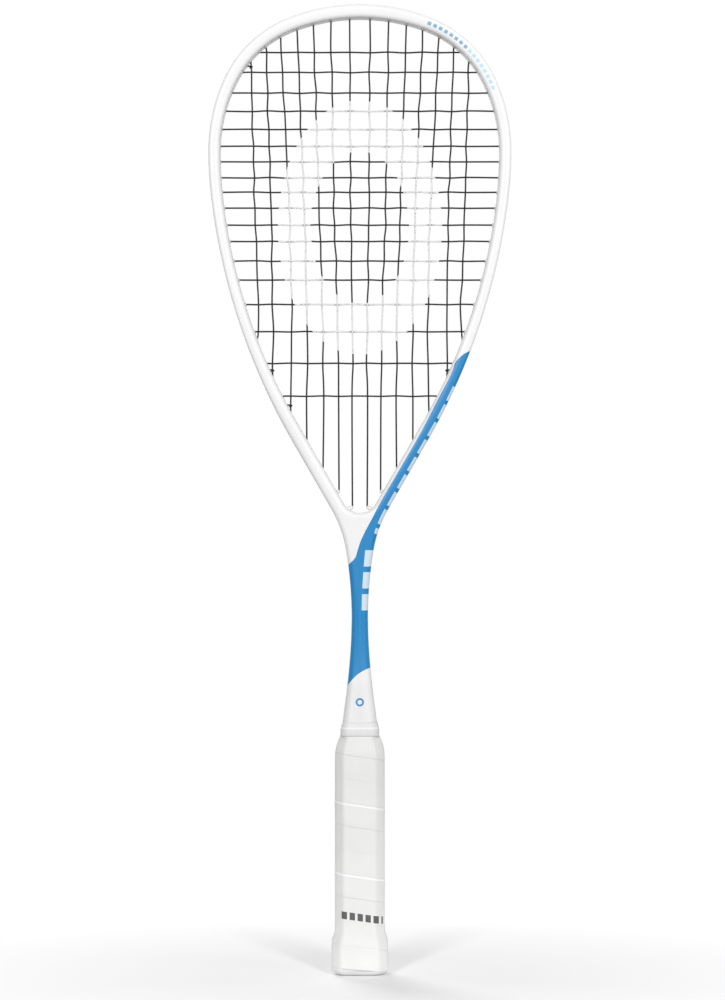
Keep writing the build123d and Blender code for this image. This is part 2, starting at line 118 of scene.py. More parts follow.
# Barrels of the string holes, and the knots that end both strings.
BARREL_RADIUS = 1.45
BARREL_BORE = 0.82
BARREL_STAND = 0.35
BEND_DEPTH = 0.1
LOWER_BARREL_TIP = [14.1, 11.4, 9.7, 9.2, 8.9, 8.6, 8.6]
TIE_OFF_MAIN_Z = 427.2
TIE_OFF_CROSS_Z = (642.2, 402.3)
STRIP_THICKNESS = 0.75
STRIP_RINGS = 90
GUARD_RINGS = 60
HITCH_HALF_WIDTH = 0.7
HITCH_RADIUS = 1.25
HITCH_BACK = 0.9
HITCH_PITCH = 1.25
HITCH_STEPS = 7

# Handle under the tape, butt cap and tape.
CORE = (16.4, 13.6)
CORE_TOP = 153.0
SHOULDER = (13.2, 12.6)
SHOULDER_Z = 168.7
SHOULDER_CURVE = 2.1
FLARE_Z = (22.0, 31.0)
FLARE = 1.8
BEVEL = 5.4
CORNER = 2.6
CAP_FOOT = [
    (0.0, 13.7, 11.0), (0.25, 15.4, 12.7), (0.8, 16.9, 14.2), (1.8, 18.6, 15.9), (3.4, 19.7, 17.0),
]
CAP_WALL = 1.4
CAP_FLOOR = 3.9
TAPE_PITCH = 16.7
TAPE_SEAM_Z = 120.65
# Thickness of the wound tape by height: pressed thin under the collar, fuller over the butt.
TAPE_THICKNESS = [
    (168.7, 0.32), (164.3, 0.62), (160.5, 1.0), (156.0, 1.15),
    (36.0, 1.15), (24.0, 1.6), (0.0, 1.6),
]
# Collar as (height, half width, half depth, corner radius), from its lower lip up.
COLLAR = [
    (168.45, 13.3, 13.4, 6.0), (168.7, 13.55, 13.85, 6.3), (169.2, 13.7, 14.1, 6.5),
    (172.8, 13.7, 14.1, 6.5), (173.8, 13.65, 14.05, 6.5), (174.4, 13.45, 13.85, 6.3),
    (174.8, 13.15, 13.6, 6.1), (175.1, 13.0, 13.5, 6.0), (176.4, 12.9, 13.4, 5.9),
    (177.3, 12.65, 13.2, 5.8), (177.9, 12.35, 12.95, 5.6), (178.2, 12.05, 12.7, 5.4),
]
COLLAR_INNER_Z = (178.2, 175.5, 172.0, 168.45)


# ---------------------------------------------------------------- curves
def chain_point(chain, top, distance):
    """Point and heading on tangent arcs, a distance along them from the crown."""
    x, z, heading = 0.0, top, 0.0
    for size, turn in chain:
        length = size * radians(abs(turn)) if turn else size
        step = min(distance, length)
        if turn:
            bend = size if turn > 0 else -size
            after = heading + step / bend
            x += bend * (sin(after) - sin(heading))
            z += bend * (cos(after) - cos(heading))
            heading = after
        else:
            x += step * cos(heading)
            z -= step * sin(heading)
        distance -= step
        if distance <= 0:
            break
    return x, z, heading


def chain_length(chain):
    """Length of a chain of arcs and straights."""
    return sum(size * radians(abs(turn)) if turn else size for size, turn in chain)


def beside(chain, top, distance, inset, y=0.0, side=1):
    """Point at a distance along a chain and an inset from it, on either side of the middle."""
    x, z, heading = chain_point(chain, top, distance)
    return Vector((side * (x - inset * sin(heading)), y, z - inset * cos(heading)))


def rim(distance, inset, y=0.0, side=1):
    """Point inside the rim, where a depth of 0 is the string plane."""
    return beside(RIM, CROWN_Z, distance, inset, y, side)


def closed_window():
    """Chain of the opening's edge, down to the lowest point of the crotch."""
    x, _, heading = chain_point(WINDOW, WINDOW_CROWN_Z, chain_length(WINDOW))
    straight = (x - CROTCH_RADIUS * sin(heading)) / abs(cos(heading))
    return WINDOW + [(straight, 0), (CROTCH_RADIUS, 180.0 - heading * 180.0 / pi)]


OPENING = closed_window()
OPENING_LENGTH = chain_length(OPENING)
RIM_LENGTH = chain_length(RIM)


def seek(value, low, high):
    """Zero of a rising function by halving."""
    for _ in range(45):
        middle = (low + high) / 2
        if value(middle) < 0:
            low = middle
        else:
            high = middle
    return (low + high) / 2


def ahead(distance, point):
    """How far a point lies ahead of the rim's normal at a distance."""
    x, z, heading = chain_point(RIM, CROWN_Z, distance)
    return (point.x - x) * cos(heading) - (point.z - z) * sin(heading)


def opening_match(distance):
    """Distance along the opening that faces a distance along the rim."""
    return seek(lambda t: ahead(distance, beside(OPENING, WINDOW_CROWN_Z, t, 0)), 0.0, OPENING_LENGTH)


CROTCH = beside(OPENING, WINDOW_CROWN_Z, OPENING_LENGTH, 0)
CROTCH_DISTANCE = seek(lambda s: -ahead(s, CROTCH), 300.0, RIM_LENGTH)


def spline(points, step):
    """Catmull-Rom curve through points, sampled about every step."""
    padded = [points[0] * 2 - points[1]] + points + [points[-1] * 2 - points[-2]]
    out = []
    for a, b, c, d in zip(padded, padded[1:], padded[2:], padded[3:]):
        count = max(1, round((c - b).length / step))
        for i in range(count):
            t = i / count
            square = (2 * a - 5 * b + 4 * c - d) * t ** 2
            cube = (3 * b - a - 3 * c + d) * t ** 3
            out.append(0.5 * (2 * b + (c - a) * t + square + cube))
    return out + [points[-1]]


def blended(keys, z):
    """Values at a height, eased through rows whose first value is the height, falling."""
    rows = [keys[0]] + list(keys) + [keys[-1]]
    for a, b, c, d in zip(rows, rows[1:], rows[2:], rows[3:]):
        if b[0] >= z >= c[0]:
            t = (b[0] - z) / (b[0] - c[0])
            out = []
            for p, q, r, s in zip(a[1:], b[1:], c[1:], d[1:]):
                before = (r - p) / 2
                after = (s - q) / 2
                square = (3 * (r - q) - 2 * before - after) * t ** 2
                cube = (before + after - 2 * (r - q)) * t ** 3
                out.append(q + before * t + square + cube)
            return out
    return list(keys[-1][1:])


# ---------------------------------------------------------------- meshes
def skin(mesh, rings, along, around, caps=(True, True), skip=None):
    """Faces between rings of points, with the two lengths as texture coordinates."""
    layer = mesh.loops.layers.uv.get("UVMap") or mesh.loops.layers.uv.new("UVMap")
    rows = [[mesh.verts.new(point * MM) for point in ring] for ring in rings]
    count = len(rings[0])
    for k, (row, after) in enumerate(zip(rows, rows[1:])):
        for i in range(count):
            if skip and skip(k, i):
                continue
            j = (i + 1) % count
            face = mesh.faces.new((row[i], row[j], after[j], after[i]))
            places = ((k, i), (k, i + 1), (k + 1, i + 1), (k + 1, i))
            for loop, (a, b) in zip(face.loops, places):
                loop[layer].uv = (along[a] * MM, around[b] * MM)
    for wanted, row in zip(caps, (rows[0], rows[-1])):
        if wanted:
            mesh.faces.new(row)


def piece(name, mesh, material, node, sharp=38.0):
    """Object from a built mesh, riding on the racket's one body in place of a CAD node."""
    bmesh.ops.remove_doubles(mesh, verts=mesh.verts, dist=2e-6)
    bmesh.ops.dissolve_degenerate(mesh, edges=mesh.edges, dist=1e-6)
    bmesh.ops.recalc_face_normals(mesh, faces=mesh.faces)
    data = bpy.data.meshes.new(name)
    mesh.to_mesh(data)
    mesh.free()
    data.polygons.foreach_set("use_smooth", [True] * len(data.polygons))
    data.set_sharp_from_angle(angle=radians(sharp))
    made = bpy.data.objects.new(name, data)
    bpy.context.scene.collection.objects.link(made)
    data.materials.append(material)
    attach(made, "root")
    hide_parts(node)


def girth(ring):
    """Lengths round a closed ring, from 0 to the whole way round."""
    around = [0.0]
    for a, b in zip(ring, ring[1:] + ring[:1]):
        around.append(around[-1] + (b - a).length)
    return around


def tube(mesh, path, radius, sides=10):
    """Round cord along a smooth path, turned as little as possible from ring to ring."""
    headings = [(b - a).normalized() for a, b in zip(path, path[1:])]
    turned = [(a + b).normalized() for a, b in zip(headings, headings[1:])]
    headings = [headings[0]] + turned + [headings[-1]]
    side = headings[0].cross(Vector((0.31, 0.17, 0.93))).normalized()
    rings, along = [], [0.0]
    for k, (point, heading) in enumerate(zip(path, headings)):
        side = (side - heading * side.dot(heading)).normalized()
        up = heading.cross(side)
        angles = [2 * pi * i / sides for i in range(sides)]
        rings.append([point + side * (radius * cos(a)) + up * (radius * sin(a)) for a in angles])
        if k:
            along.append(along[-1] + (point - path[k - 1]).length)
    skin(mesh, rings, along, [2 * pi * radius * i / sides for i in range(sides + 1)])


def lathe(mesh, origin, axis, profile, sides=16):
    """Closed profile of (depth, radius) turned about an axis through a point of the rim."""
    across = Vector((0, 1, 0))
    up = axis.cross(across).normalized()
    rings = []
    for depth, radius in profile:
        centre = origin + axis * depth
        angles = [2 * pi * i / sides for i in range(sides)]
        rings.append([centre + across * (radius * cos(a)) + up * (radius * sin(a)) for a in angles])
    rings.append(rings[0])
    along = [2.0 * k for k in range(len(rings))]
    skin(mesh, rings, along, [0.5 * i for i in range(sides + 1)], caps=(False, False))


# ---------------------------------------------------------------- frame
def arc_points(radius, count, start=0.0):
    """Quarter round as (depth below the side, reach along the side)."""
    angles = [radians(start) + (pi / 2 - radians(start)) * i / count for i in range(count + 1)]
    return [(radius - radius * cos(a), radius * sin(a)) for a in angles]


def shaft_share(distance):
    """How far a section has turned from an arm's into the shaft's."""
    return min(max((distance - GROOVE_END) / (RIM_LENGTH - GROOVE_END), 0.0), 1.0)


def outer_edge(distance):
    """Radius of the outer edge: tight round the hoop, softer on the arms and the shaft."""
    (hoop, hoop_end), (arm, arm_start) = HOOP_EDGE, ARM_EDGE
    arms = min(max((distance - hoop_end) / (arm_start - hoop_end), 0.0), 1.0)
    return hoop + (arm - hoop) * arms + (SHAFT_EDGE - arm) * shaft_share(distance)


def face_crown(distance):
    """How far the face bulges: hardly on the hoop, more on the shaft."""
    return FACE_CROWN + (SHAFT_CROWN - FACE_CROWN) * shaft_share(distance)


def outer_profile(distance):
    """(inset, depth) from the middle of the outside to the start of the face."""
    radius = outer_edge(distance)
    flat = BEAM / 2 - face_crown(distance) - radius
    floor = GROOVE_DEPTH if distance < GROOVE_END else 0.0
    if distance < GUARD_END:
        floor += GUARD_RECESS
        ledge = [(GUARD_RECESS, GROOVE_HALF_WIDTH), (GUARD_RECESS, GUARD_HALF_WIDTH)]
        ledge.append((0.06, GUARD_HALF_WIDTH))
    else:
        ledge = [(0.0, GROOVE_HALF_WIDTH), (0.0, flat - 0.3), (0.0, flat)]
    start = [(floor, 0.0), (floor, GROOVE_HALF_WIDTH)] + ledge
    return start + [(inset, flat + y) for inset, y in arc_points(radius, OUTER_STEPS, OUTER_START)]


def face_depth(part, merge, crown=FACE_CROWN):
    """Depth of the slightly crowned face between its outer and inner edges."""
    rise = (1 - merge) * sin(pi * part) + merge * sin(pi * part / 2)
    return BEAM / 2 - crown + crown * rise


def half_ring(distance, side):
    """Points from the middle of the outside over the face to the middle of the inside."""
    outer = [rim(distance, inset, y, side) for inset, y in outer_profile(distance)]
    if distance <= CROTCH_DISTANCE:
        match, merge = opening_match(distance), 0.0
        flat = BEAM / 2 - FACE_CROWN - EDGE_ROUND
        edge = [(outset, flat + y) for outset, y in arc_points(EDGE_ROUND, INNER_STEPS)]
        inner = [beside(OPENING, WINDOW_CROWN_Z, match, -outset, y, side) for outset, y in edge[::-1]]
        inner.append(beside(OPENING, WINDOW_CROWN_Z, match, 0.0, 0.0, side))
    else:
        merge = min((distance - CROTCH_DISTANCE) / 25.0, 1.0)
        x, z, heading = chain_point(RIM, CROWN_Z, distance)
        settling = EDGE_ROUND * exp(-(distance - CROTCH_DISTANCE) / 6.0)
        low = z - x * cos(heading) / sin(heading) - settling
        top = Vector((0.0, face_depth(1.0, merge, face_crown(distance)), low))
        inner = [top] * (INNER_STEPS + 1) + [Vector((0.0, 0.0, low))]
    face = []
    for i in range(1, FACE_STEPS):
        part = i / FACE_STEPS
        point = outer[-1].lerp(inner[0], part)
        face.append(Vector((point.x, face_depth(part, merge, face_crown(distance)), point.z)))
    return outer + face + inner


def shaft_half_ring(z, half_x, half_y, corner, side):
    """The same points on the cone, the tang or any level rounded section."""
    flat = half_y - SHAFT_CROWN - corner
    share = GROOVE_HALF_WIDTH / (BEAM / 2 - FACE_CROWN - EDGE_ROUND)
    outer = [(0.0, 0.0), (0.0, flat * share), (0.0, flat * share), (0.0, flat - 0.3), (0.0, flat)]
    outer += [(inset, flat + y) for inset, y in arc_points(corner, OUTER_STEPS, OUTER_START)]
    points = [Vector((side * (half_x - inset), y, z)) for inset, y in outer]
    edge = half_x - corner
    for i in range(1, FACE_STEPS):
        part = i / FACE_STEPS
        depth = half_y - SHAFT_CROWN + SHAFT_CROWN * sin(pi * part / 2)
        points.append(Vector((side * edge * (1 - part), depth, z)))
    top = Vector((0.0, half_y, z))
    return points + [top] * (INNER_STEPS + 1) + [Vector((0.0, 0.0, z))]


def frame_stations():
    """Distances at which the frame is cut into rings, doubled at every step of the groove."""
    stops, distance = [0.0], 0.0
    while distance < RIM_LENGTH:
        near = abs(distance - CROTCH_DISTANCE) < 24.0
        distance += 1.0 if near else 1.4
        stops.append(min(distance, RIM_LENGTH))
    for step in (GUARD_END, GROOVE_END):
        stops += [step - 0.01, step + 0.01]
    return sorted(stops + [CROTCH_DISTANCE])


def whole_ring(half):
    """Ring from the half in front, then the half behind it."""
    front = [Vector((p.x, -p.y, p.z)) for p in half]
    return front + half[-2:0:-1]


def frame_piece(material):
    """Hoop, throat, shaft, cone and tang as two halves, joined down the middle of the shaft."""
    mesh = bmesh.new()
    stations = frame_stations()
    length = len(half_ring(0.0, 1))
    inside = length - 1 - (INNER_STEPS + 1)
    first_merged = stations.index(CROTCH_DISTANCE)
    heights = [CONE[0][0] - CONE_STEP * i for i in range(1, CONE_RINGS + 1)]
    for side in (-1, 1):
        halves = [half_ring(s, side) for s in stations]
        halves += [shaft_half_ring(z, *blended(CONE, z), side) for z in heights if z > CONE[-1][0]]
        halves.append(shaft_half_ring(*CONE[-1], side))
        for z in (CONE[-1][0], TANG_BOTTOM):
            halves.append(shaft_half_ring(z, *TANG_HALF, TANG_CORNER, side))
        halves.append([Vector((0.0, p.y, TANG_BOTTOM)) for p in halves[-1]])
        rings = [whole_ring(half) for half in halves]
        along = stations + [RIM_LENGTH + 3.0 * (i + 1) for i in range(len(rings) - len(stations))]
        around = girth(rings[0])
        last = len(rings[0]) - 1

        def hidden(k, i):
            """Faces of the middle plane, where the two halves have merged below the crotch."""
            return k >= first_merged and inside <= min(i, last - i) and max(i, last - i) <= last - inside

        skin(mesh, rings, [side * a for a in along], around, caps=(False, False), skip=hidden)
    piece("frame_body", mesh, material, "frame")


# ---------------------------------------------------------------- grommets
def opening_depth(distance):
    """Depth of the rim from its outside to the window, thicker at the crown."""
    return 9.3 - min(max((distance - 70.0) / 60.0, 0.0), 1.0)


class Grommet:
    """One string hole: where it is on the rim, and where its barrel ends inside the hoop."""

    def __init__(self, distance, tip, side):
        self.distance = distance
        self.tip = tip
        self.side = side

    def at(self, inset):
        return rim(self.distance, inset, 0.0, self.side)

    def mouth(self):
        return self.at(self.tip - BARREL_STAND + BEND_DEPTH)

    def axis(self):
        return (self.at(1.0) - self.at(0.0)).normalized()


def tip_depth(distance):
    return opening_depth(distance) + BARREL_STAND


def grommet_at_height(z, side):
    distance = seek(lambda s: z - rim(s, opening_depth(s) + BEND_DEPTH).z, 40.0, GROOVE_END)
    return Grommet(distance, tip_depth(distance), side)


def grommet_at_crown(x, side):
    distance = seek(lambda s: rim(s, opening_depth(s) + BEND_DEPTH).x - x, 0.0, 150.0)
    return Grommet(distance, tip_depth(distance), side)


def grommet_at_throat(x, tip, side):
    distance = seek(lambda s: x - rim(s, tip).x, 220.0, GROOVE_END)
    return Grommet(distance, tip, side)


MAIN_ORDER = [(k, -1) for k in range(6, -1, -1)] + [(k, 1) for k in range(7)]
UPPER = [grommet_at_crown(MAIN_TOP[k], side) for k, side in MAIN_ORDER]
LOWER = [grommet_at_throat(MAIN_BOTTOM[k], LOWER_BARREL_TIP[k], side) for k, side in MAIN_ORDER]
CROSS_LEFT = [grommet_at_height(z, -1) for z in CROSS_Z]
CROSS_RIGHT = [grommet_at_height(z, 1) for z in CROSS_Z]
MAIN_TIES = [grommet_at_height(TIE_OFF_MAIN_Z, side) for side in (-1, 1)]
CROSS_TIES = [grommet_at_height(z, -1) for z in TIE_OFF_CROSS_Z]
GROMMETS = UPPER + LOWER + CROSS_LEFT + CROSS_RIGHT + MAIN_TIES + CROSS_TIES


def floor_inset(distance):
    """Depth of the string groove's floor."""
    return GROOVE_DEPTH + (GUARD_RECESS if distance < GUARD_END else 0.0)


def barrel(mesh, grommet):
    """Flared tube with a flange in the groove and a rounded lip inside the hoop."""
    top = floor_inset(grommet.distance) - STRIP_THICKNESS + 0.05
    tip, radius, bore = grommet.tip, BARREL_RADIUS, BARREL_BORE
    profile = [
        (top - 0.15, bore + 0.25), (top - 0.25, bore + 0.5), (top - 0.22, radius + 0.25),
        (top, radius + 0.5), (top + 0.4, radius + 0.5), (top + 0.5, radius),
        (tip - 1.2, radius - 0.04), (tip - 0.35, radius - 0.06), (tip - 0.1, radius - 0.12),
        (tip, radius - 0.24), (tip - 0.08, bore + 0.26), (tip - 0.5, bore), (top + 0.6, bore),
    ]
    lathe(mesh, grommet.at(0.0), grommet.axis(), profile)


def swept(mesh, profile_at, stops, side=1):
    """Profile of (inset, depth) carried along the rim, closed at both ends."""
    rings = []
    for s in stops:
        here = side if s >= 0 else -side
        rings.append([rim(abs(s), inset, y, here) for inset, y in profile_at(s)])
    skin(mesh, rings, stops, girth(rings[0]))


def mirrored(points):
    """Profile closed by the same points on the other side of the string plane."""
    return points + [(inset, -y) for inset, y in points[::-1] if y]


def strip_profile(distance):
    """Flat strip with a low rib at both edges, which fades out at its ends."""
    floor = GROOVE_DEPTH - 0.05
    edge = GROOVE_HALF_WIDTH - 0.1
    fade = 0.45 * min(1.0, (GROOVE_END - distance) / 4.0, (distance - GUARD_END) / 4.0)
    base = floor - STRIP_THICKNESS
    return mirrored([
        (base, 0.0), (base, edge - 0.75), (base - fade * 0.4, edge - 0.6),
        (base - fade, edge - 0.42), (base - fade, edge - 0.15), (base - fade + 0.12, edge),
        (floor, edge), (floor, 0.0),
    ])


def strip_piece(side, material):
    """Grommet strip of one side, with its barrels."""
    mesh = bmesh.new()
    first, last = GUARD_END + 0.2, GROOVE_END - 0.3
    stops = [first + (last - first) * i / STRIP_RINGS for i in range(STRIP_RINGS + 1)]
    swept(mesh, strip_profile, stops, side)
    for grommet in GROMMETS:
        if grommet.distance > GUARD_END and grommet.side == side:
            barrel(mesh, grommet)
    name = "grommet_strip_left" if side < 0 else "grommet_strip_right"
    piece(name + "_detail", mesh, material, name)


def guard_profile(distance):
    """Bumper section: two rounded pads with the string channel between them."""
    floor = GROOVE_DEPTH + GUARD_RECESS - 0.05
    edge = GUARD_HALF_WIDTH - 0.1
    wall = GROOVE_HALF_WIDTH - 0.05
    sink = 0.55 * max(0.0, 1.0 - (GUARD_END - 0.3 - abs(distance)) / 5.0) ** 2
    base = floor - STRIP_THICKNESS
    seat = GUARD_RECESS - 0.05
    return mirrored([
        (base, 0.0), (base, wall - 0.95), (floor - 0.95, wall - 0.75), (0.75 + sink * 0.3, wall - 0.72),
        (0.35 + sink, wall - 0.6), (0.12 + sink, wall - 0.3), (0.03 + sink, wall + 0.2),
        (0.02 + sink, edge - 2.4), (0.1 + sink, edge - 1.1), (0.3 + sink * 0.7, edge - 0.35),
        (0.5 + sink * 0.5, edge - 0.08), (0.75, edge), (seat, edge), (seat, wall),
        (floor, wall), (floor, 0.0),
    ])


def guard_piece(material):
    """Head guard over the crown, with the barrels that pass through it."""
    mesh = bmesh.new()
    end = GUARD_END - 0.3
    stops = [end * i / GUARD_RINGS for i in range(-GUARD_RINGS, GUARD_RINGS + 1)]
    extra = [side * (end - d) for side in (-1, 1) for d in (0.4, 1.0, 3.4)]
    swept(mesh, guard_profile, sorted(stops + extra))
    for grommet in GROMMETS:
        if grommet.distance < GUARD_END:
            barrel(mesh, grommet)
    piece("head_guard_detail", mesh, material, "head_guard")


# ---------------------------------------------------------------- strings
def loop_inset(distance):
    """Inset of a string that lies on the strip in the groove."""
    return floor_inset(distance + 6.0) - STRIP_THICKNESS - 0.15 - STRING_RADIUS


def main_nodes(index):
    """The four points that a main passes, from its lower grommet up."""
    k, side = MAIN_ORDER[index]
    middle = Vector((side * MAIN_MIDDLE[k], 0, MIDDLE_Z))
    low = Vector((side * MAIN_LOW[k], 0, LOW_Z))
    return [LOWER[index].mouth(), low, middle, UPPER[index].mouth()]


def main_x(index, z):
    """Where a main is at a height, or None past its ends."""
    points = main_nodes(index)
    for a, b in zip(points, points[1:]):
        if a.z <= z <= b.z:
            return a.x + (b.x - a.x) * (z - a.z) / (b.z - a.z)
    return None


def over(index, row):
    """1 where the cross passes behind the main, else -1."""
    return 1 if (index + row) % 2 else -1


def crossing(index, row):
    """Where a main meets a cross, pushed a little aside as hand stringing leaves it."""
    z = CROSS_Z[row]
    x = main_x(index, z)
    if x is None:
        return None
    aside = 0.34 * sin(2.1 * index + 2.9 * row) + 0.2 * sin(1.3 * row + 0.7 * index * index)
    lift = 0.2 * sin(1.7 * row + 2.6 * index)
    return Vector((x + aside, 0.0, z + lift))


def straightened(start, run, end):
    """Run between two grommets, held straight for a little at both ends."""
    leaving = start.lerp(run[0], FIRST_BEND / (run[0] - start).length)
    arriving = end.lerp(run[-1], FIRST_BEND / (run[-1] - end).length)
    return [start, leaving] + run + [arriving, end]


def main_run(index):
    """One main from its lower to its upper grommet, bent round every cross."""
    ends = main_nodes(index)
    run = []
    for row in range(len(CROSS_Z) - 1, -1, -1):
        point = crossing(index, row)
        if point and ends[0].z + 1.0 < point.z < ends[-1].z - 1.0:
            run.append(point - Vector((0, MAIN_WEAVE * over(index, row), 0)))
    return straightened(ends[0], run, ends[-1])


def cross_run(row):
    """One cross from left to right, bent round every main."""
    ends = CROSS_LEFT[row].mouth(), CROSS_RIGHT[row].mouth()
    run = []
    for index in range(len(MAIN_ORDER)):
        point = crossing(index, row)
        if point:
            run.append(point + Vector((0, CROSS_WEAVE * over(index, row), 0)))
    return straightened(ends[0], run, ends[1])


def loop_run(start, end, y):
    """Turn outside the frame from one grommet to the next along the groove."""
    a, b = start.distance, end.distance
    if start.side != end.side:
        b = -b
    lead = LOOP_LEAD if b > a else -LOOP_LEAD
    steps = max(1, round(abs(b - a) / LOOP_STEP))
    stops = [a + lead + (b - a - 2 * lead) * i / steps for i in range(steps + 1)]
    points = []
    for s in stops:
        side = start.side if s >= 0 else -start.side
        points.append(rim(abs(s), loop_inset(abs(s)), y, side))
    leaving = [start.at(start.tip - TUCK), start.at(loop_inset(a) + LOOP_DIP)]
    arriving = [end.at(loop_inset(abs(b)) + LOOP_DIP), end.at(end.tip - TUCK)]
    return leaving + points + arriving


def hitch_run(grommet, index):
    """End of a string, knotted at the back of a main beside its tie-off hole."""
    base = grommet.mouth()
    points = [grommet.at(grommet.tip - TUCK), base]
    for i in range(HITCH_STEPS):
        angle = pi * (i + 1) / 3
        z = base.z - HITCH_PITCH * i / 6
        x = main_x(index, z) + grommet.side * HITCH_HALF_WIDTH * cos(angle)
        points.append(Vector((x, HITCH_BACK - HITCH_RADIUS * sin(angle), z)))
    return points


def string_piece(node, run, near, far, ties, tied_to, y, material):
    """One cord back and forth between two rows of grommets, knotted round mains at its ends."""
    path = hitch_run(ties[0], tied_to[0])[::-1] + loop_run(ties[0], near[0], y)[1:]
    for k in range(len(near)):
        if k % 2 == 0:
            path += run(k) + loop_run(far[k], far[k + 1], y)
        else:
            target = ties[1] if k == len(near) - 1 else near[k + 1]
            path += run(k)[::-1] + loop_run(near[k], target, y)
    path += hitch_run(ties[1], tied_to[1])[1:]
    mesh = bmesh.new()
    tube(mesh, spline(path, CORD_STEP), STRING_RADIUS)
    piece(node + "_woven", mesh, material, node, 60.0)


# ---------------------------------------------------------------- handle
def rounded_octagon(half_x, half_y, grow=0.0, corner=CORNER):
    """Eight-sided section with rounded corners, from the front facet's right end, anticlockwise."""
    bevel = BEVEL + grow * (2 - sqrt(2))
    x, y = half_x + grow, half_y + grow
    flat_x, flat_y = x - bevel, y - bevel
    corners = [
        (flat_x, -y), (x, -flat_y), (x, flat_y), (flat_x, y),
        (-flat_x, y), (-x, flat_y), (-x, -flat_y), (-flat_x, -y),
    ]
    reach = (corner + grow) * tan(pi / 8)
    points = []
    for i, (a, b) in enumerate(corners):
        here = Vector((a, b))
        before = (Vector(corners[i - 1]) - here).normalized()
        after = (Vector(corners[(i + 1) % 8]) - here).normalized()
        start, end = here + before * reach, here + after * reach
        for t in (0.0, 0.33, 0.67, 1.0):
            points.append(start * (1 - t) ** 2 + here * (2 * t * (1 - t)) + end * t ** 2)
    return points


def core_size(z):
    """Half width and half depth of the handle under the tape at a height."""
    x, y = CORE
    if z < FLARE_Z[1]:
        part = min((FLARE_Z[1] - z) / (FLARE_Z[1] - FLARE_Z[0]), 1.0)
        eased = part * part * (3 - 2 * part)
        return x + FLARE * eased, y + FLARE * eased
    if z > CORE_TOP:
        part = min((z - CORE_TOP) / (SHOULDER_Z - CORE_TOP), 1.0) ** SHOULDER_CURVE
        return x + (SHOULDER[0] - x) * part, y + (SHOULDER[1] - y) * part
    return x, y


def tape_point(index, z, reach):
    """Point at a reach outside the core, at one of the section's corner points."""
    x, y = core_size(z)
    point = rounded_octagon(x, y, reach)[index]
    return Vector((point.x, point.y, z))


def tape_thickness(z):
    """Mean thickness of the tape at a height."""
    for (high, above), (low, below) in zip(TAPE_THICKNESS, TAPE_THICKNESS[1:]):
        if z >= low:
            return below + (above - below) * (z - low) / (high - low)
    return TAPE_THICKNESS[-1][1]


# Across the tape from its lower edge: rise, and how far it stands off its mean thickness.
TAPE_EDGE = [
    (0.0, -0.24), (0.1, -0.15), (0.35, -0.06), (1.1, -0.02), (2.5, -0.01), (4.0, 0.0), (6.0, 0.01),
    (8.0, 0.03), (10.0, 0.06), (12.0, 0.09), (13.2, 0.13), (14.4, 0.17), (15.3, 0.2), (15.7, 0.16),
    (16.1, 0.05), (16.5, -0.14), (16.65, -0.24),
]


def tape_ring(index, z, turns):
    """Section of the tape at one place round the handle, cut off level at both ends."""
    low, high = CAP_FOOT[-1][0], SHOULDER_Z - 0.2
    proud = 0.1 + 0.9 * max(0.0, cos(2 * pi * turns / 3)) ** 2
    outside = []
    for rise, off in TAPE_EDGE:
        height = min(max(z + rise, low), high)
        outside.append(tape_point(index, height, tape_thickness(height) + proud * off))
    inside = []
    for rise in (TAPE_PITCH - 0.05, 0.0):
        inside.append(tape_point(index, min(max(z + rise, low), high), 0.02))
    return outside + inside


def tape_piece(material):
    """Grip wound round the handle, the upper edge of every turn lapped over the one above."""
    outline = rounded_octagon(*CORE, tape_thickness(CORE_TOP))
    steps = [(b - a).length for a, b in zip(outline, outline[1:] + outline[:1])]
    total = sum(steps)
    middle = sum(steps[:-1]) + steps[-1] / 2
    z = TAPE_SEAM_Z + 4 * TAPE_PITCH + TAPE_PITCH * middle / total - TAPE_PITCH
    rings, along, index, travelled = [], [], 0, 0.0
    while z > CAP_FOOT[-1][0] - TAPE_PITCH + 0.6:
        if z < SHOULDER_Z - 0.35:
            rings.append(tape_ring(index, z, (z + TAPE_PITCH - TAPE_SEAM_Z) / TAPE_PITCH))
            along.append(travelled)
        travelled += steps[index]
        z -= TAPE_PITCH * steps[index] / total
        index = (index + 1) % len(steps)
    around = [rise for rise, _ in TAPE_EDGE]
    around += [TAPE_PITCH + 1.0, 2 * TAPE_PITCH, 2 * TAPE_PITCH + 1.0]
    mesh = bmesh.new()
    skin(mesh, rings, along, around)
    piece("grip_tape_wound", mesh, material, "grip_tape", 34.0)


def level_ring(points, z):
    """Flat points lifted to a height."""
    return [Vector((p.x, p.y, z)) for p in points]


def cap_piece(material):
    """Butt cap with a rounded foot and a plain end."""
    rings = [level_ring(rounded_octagon(x, y, 0.0, CORNER + 1.0), z) for z, x, y in CAP_FOOT]
    for z in (CAP_FOOT[-1][0], 12.0, FLARE_Z[0]):
        rings.append(level_ring(rounded_octagon(*core_size(z)), z))
    for z in (FLARE_Z[0], CAP_FLOOR):
        rings.append(level_ring(rounded_octagon(*core_size(z), -CAP_WALL), z))
    mesh = bmesh.new()
    skin(mesh, rings, [3.0 * i for i in range(len(rings))], girth(rings[3]))
    piece("butt_cap_moulded", mesh, material, "butt_cap")


def rounded_rectangle(z, half_x, half_y, corner):
    """Level rectangle with rounded corners."""
    points = []
    angles = [pi / 2 * i / 8 for i in range(9)]
    for sign_x, sign_y in ((1, -1), (1, 1), (-1, 1), (-1, -1)):
        arc = [(corner - corner * cos(a), corner - corner * sin(a)) for a in angles]
        if sign_x * sign_y < 0:
            arc = arc[::-1]
        points += [Vector((sign_x * (half_x - a), sign_y * (half_y - b), z)) for a, b in arc]
    return points


